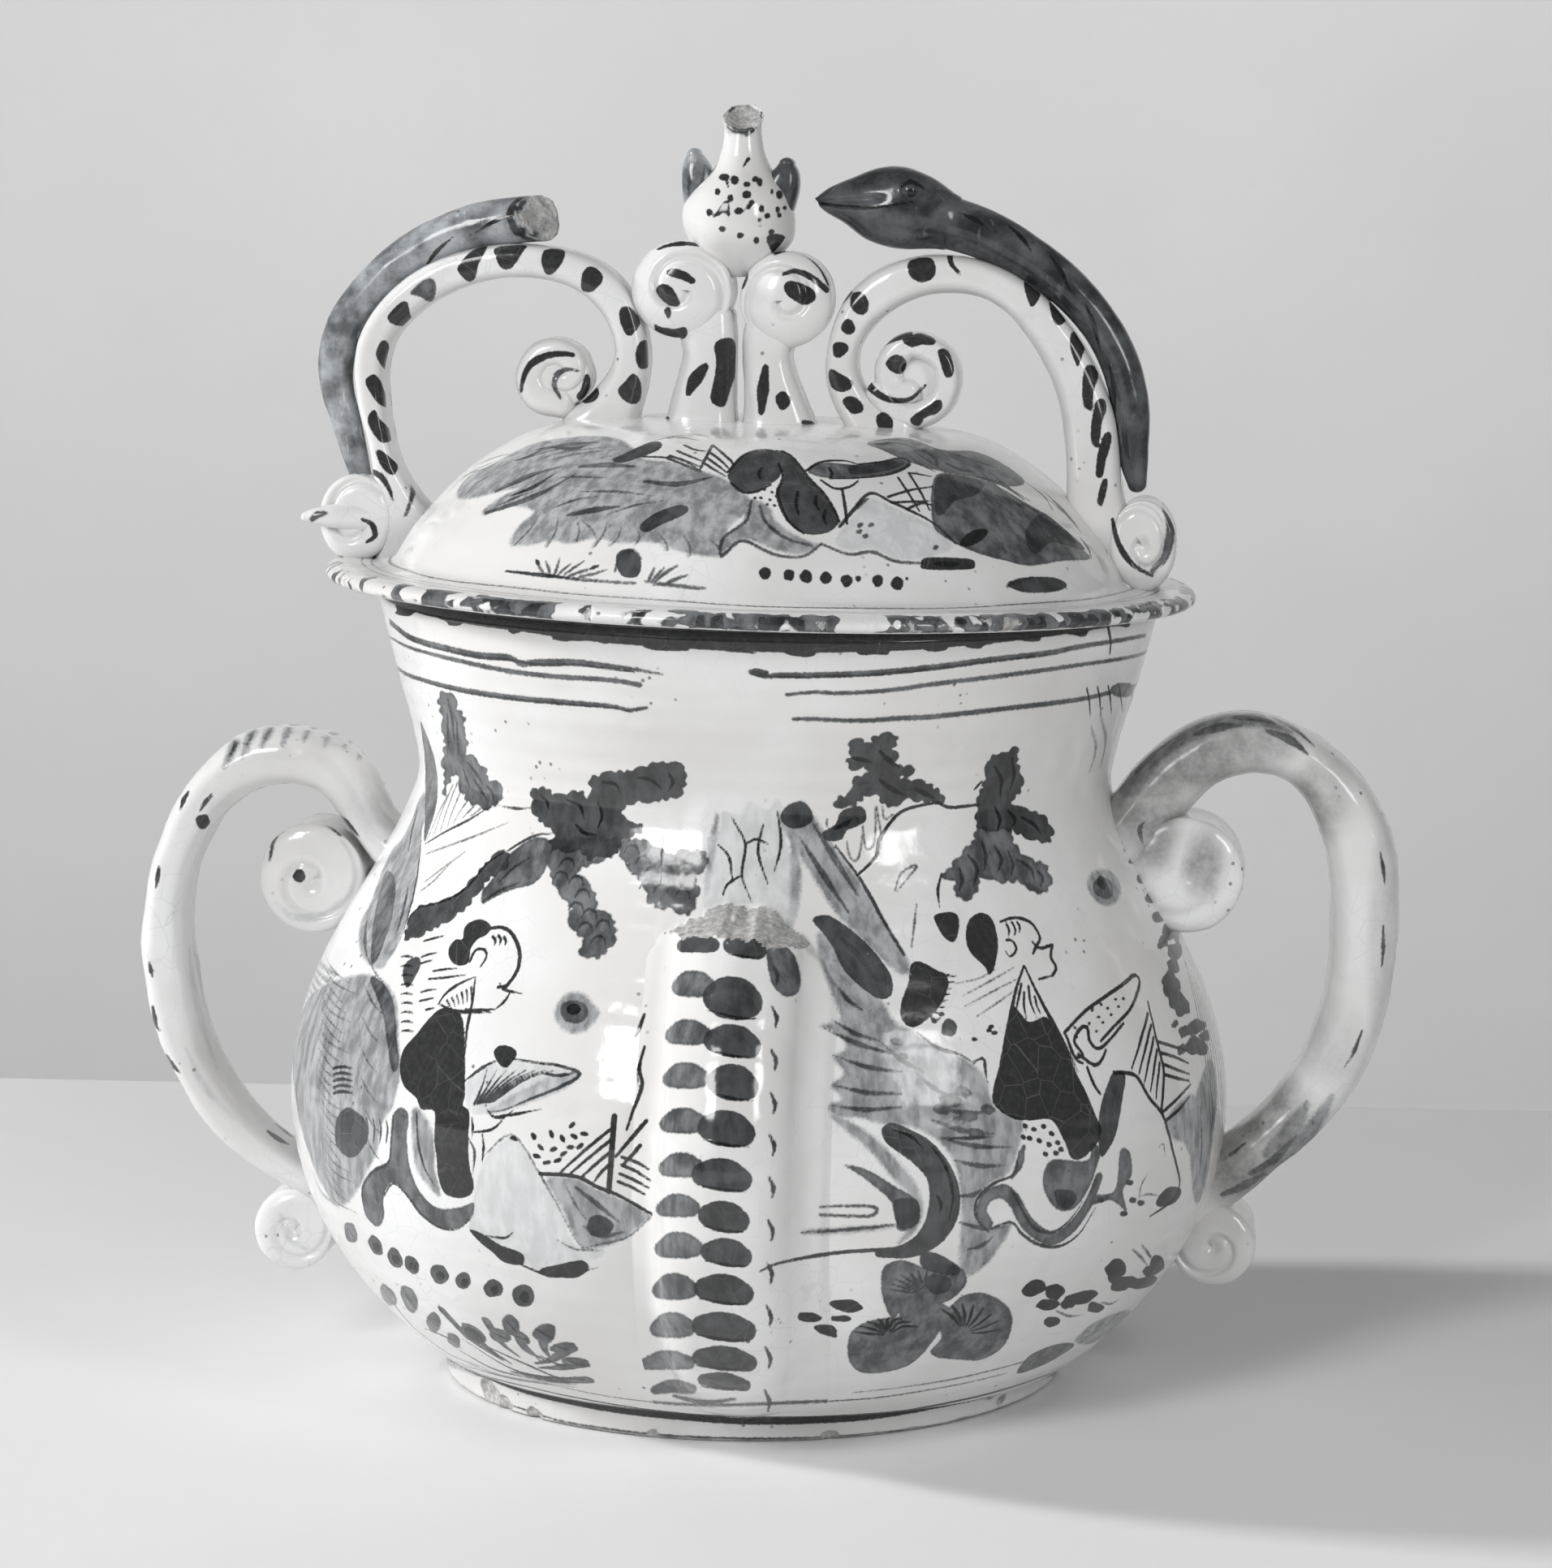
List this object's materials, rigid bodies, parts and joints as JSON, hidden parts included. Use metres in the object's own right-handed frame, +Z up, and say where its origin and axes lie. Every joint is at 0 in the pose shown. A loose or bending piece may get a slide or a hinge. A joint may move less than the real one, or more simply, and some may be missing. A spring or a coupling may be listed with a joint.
{
  "type": "posset pot",
  "caption": "Covered posset pot in painted tin-glazed earthenware: bellied body with spout and strap handles, and a domed lid with scroll loops, serpents and a bird.",
  "frame": {"origin": "centre of the foot ring's underside, where the pot stands", "axes": "+Z up; -Y towards the spout, which is the front; handles along X, +X to the viewer's right seen from the spout side"},
  "size_m": [0.2502, 0.1977, 0.2498],
  "materials": {
    "painted_glaze": "gloss",
    "plain_glaze": "gloss",
    "foot_glaze": "satin",
    "dark_glaze": "gloss"
  },
  "bodies": {
    "pot": {"pot_body": "painted_glaze", "foot_ring": "foot_glaze", "spout_tube": "painted_glaze", "left_handle_strap": "painted_glaze", "left_handle_upper_scroll": "painted_glaze", "left_handle_lower_scroll": "painted_glaze", "right_handle_strap": "painted_glaze", "right_handle_upper_scroll": "painted_glaze", "right_handle_lower_scroll": "painted_glaze"},
    "lid": {"lid_dome": "painted_glaze", "lid_locating_flange": "plain_glaze", "left_loop_strap": "painted_glaze", "left_loop_inner_scroll": "painted_glaze", "left_loop_foot_scroll": "painted_glaze", "left_foot_tail": "painted_glaze", "left_serpent": "dark_glaze", "right_loop_strap": "painted_glaze", "right_loop_inner_scroll": "painted_glaze", "right_loop_foot_scroll": "painted_glaze", "right_serpent_body": "dark_glaze", "right_serpent_head": "dark_glaze", "right_serpent_eyes": "dark_glaze", "centre_left_scroll": "painted_glaze", "centre_right_scroll": "painted_glaze", "bird_body": "painted_glaze", "bird_left_wing": "painted_glaze", "bird_right_wing": "dark_glaze"}
  },
  "joints": [
    {"name": "lid_lift", "type": "slide", "parent": "pot", "child": "lid", "axis": [0, 0, 1], "range_m": [0, 0.06]}
  ]
}
